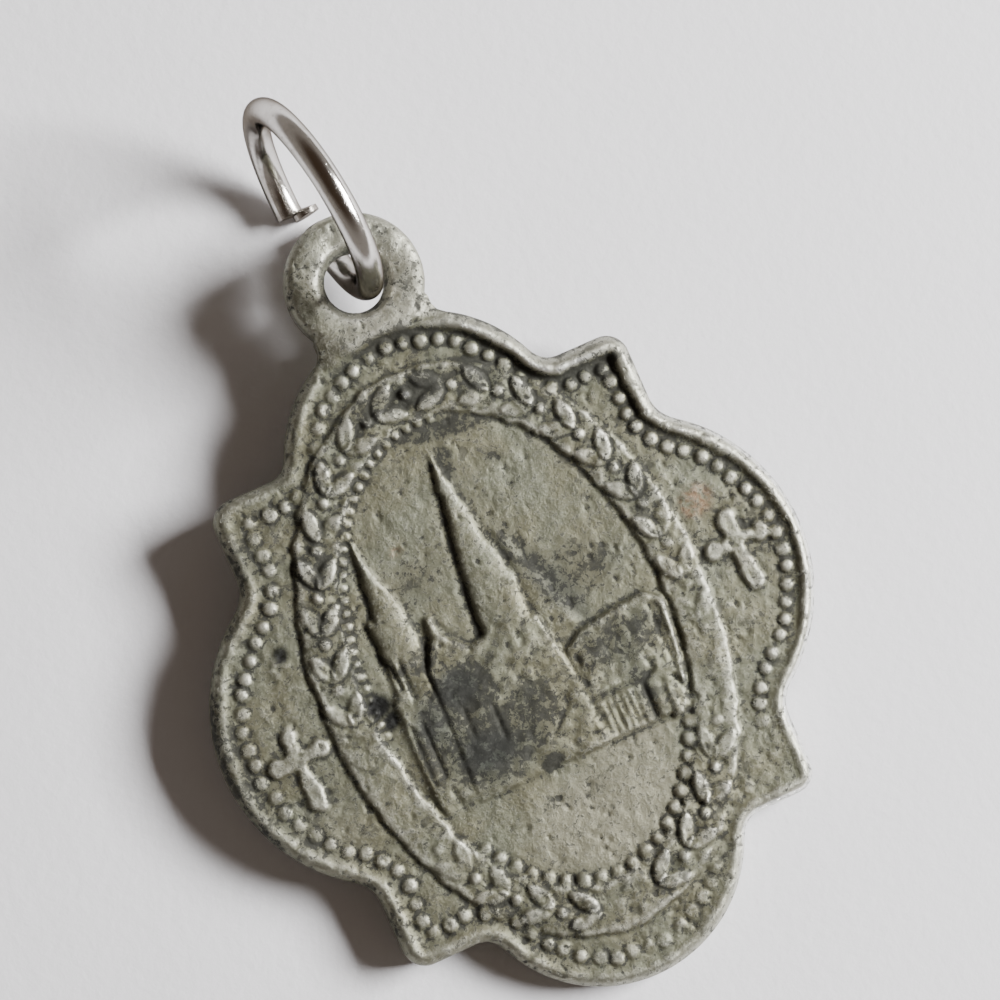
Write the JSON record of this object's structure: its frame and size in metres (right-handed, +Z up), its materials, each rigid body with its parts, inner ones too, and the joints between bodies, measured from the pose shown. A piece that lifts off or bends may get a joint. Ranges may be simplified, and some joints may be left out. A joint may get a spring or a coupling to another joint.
{
  "type": "religious medal pendant",
  "caption": "Small quatrefoil medal with a raised oval band, a church in low relief, beaded rim and drilled eyelet, with an open wire jump ring through it.",
  "frame": {"origin": "centre of the footprint, on the surface that the pendant lies on", "axes": "+Z up, the medal face up; +Y from the medal's foot to its eyelet and ring"},
  "size_m": [0.0228, 0.0344, 0.0083],
  "materials": {
    "cast_metal": "worn matt casting, dark in its recesses",
    "ring_wire": "bright drawn wire with light scratches"
  },
  "bodies": {
    "root": {"medal": "cast_metal", "jump_ring": "ring_wire"}
  },
  "joints": []
}
